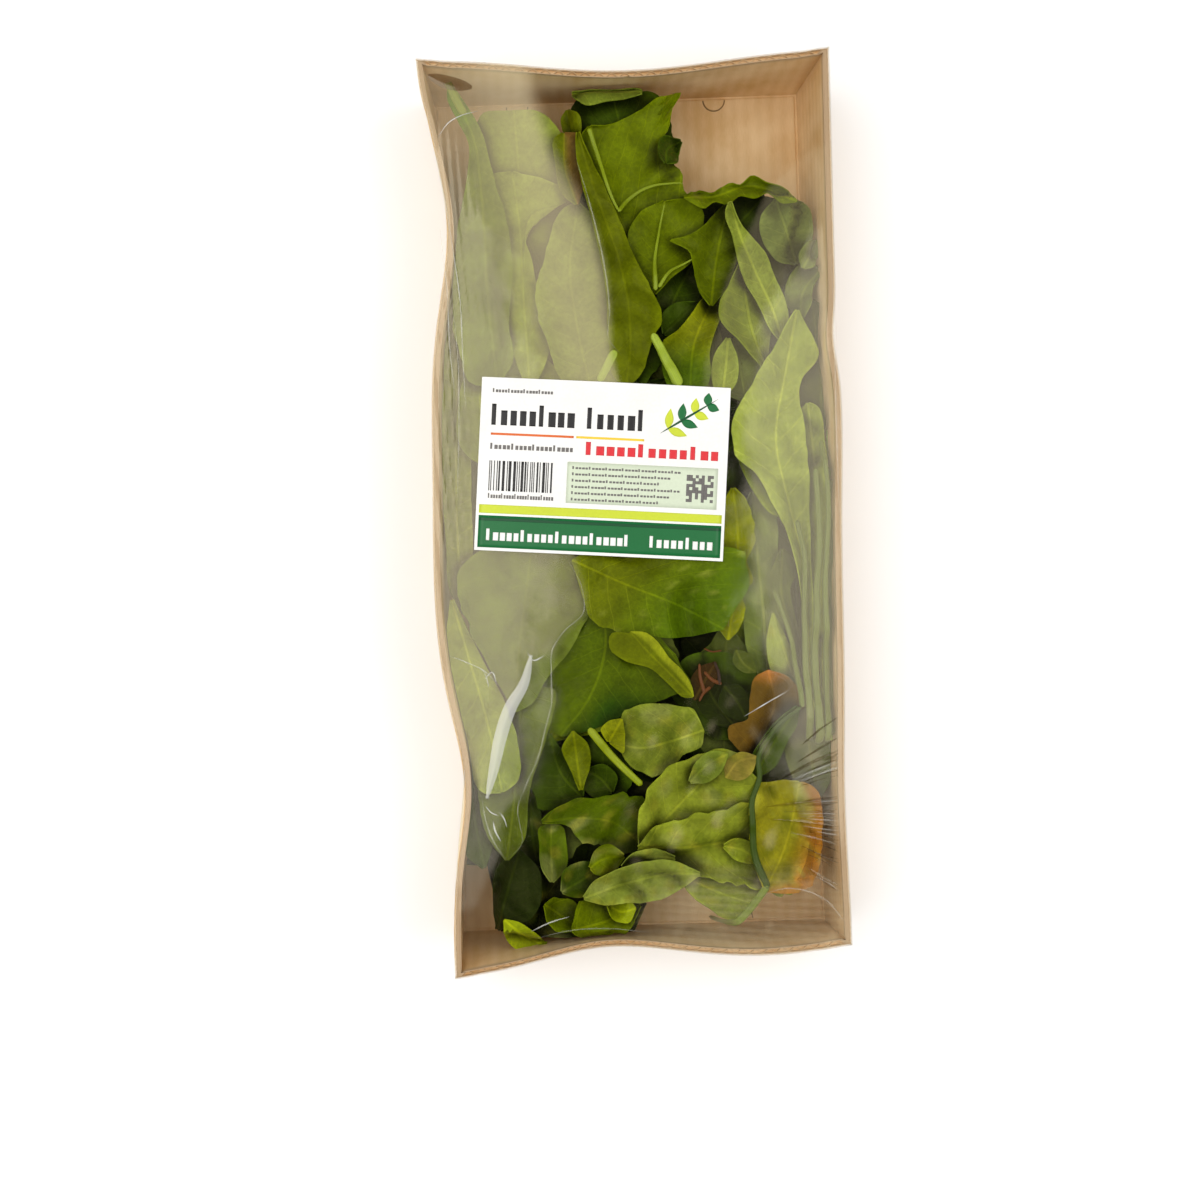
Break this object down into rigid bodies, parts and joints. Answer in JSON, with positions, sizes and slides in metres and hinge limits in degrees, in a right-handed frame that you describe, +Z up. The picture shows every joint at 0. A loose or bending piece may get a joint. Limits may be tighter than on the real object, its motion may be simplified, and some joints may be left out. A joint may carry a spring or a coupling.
{
  "type": "film-wrapped cardboard tray of spinach leaves",
  "caption": "Long shallow cardboard tray heaped with loose spinach leaves, closed by clear stretched film that carries a rectangular paper label.",
  "frame": {"origin": "centre of the bounding box at its base, on the surface that the pack lies on", "axes": "+X across the pack, +Y along the pack towards the end with the bare tray floor at its right, +Z up through the film"},
  "size_m": [0.166, 0.3691, 0.0504],
  "materials": {
    "kraft_board": "matt corrugated kraft board",
    "spinach_leaf": "fresh leaves, slightly waxy",
    "clear_film": "clear glossy stretched film",
    "label_paper": "coated white paper with printed fields of colour"
  },
  "bodies": {
    "root": {"tray": "kraft_board", "spinach": "spinach_leaf", "film": "clear_film", "label": "label_paper"}
  },
  "joints": []
}
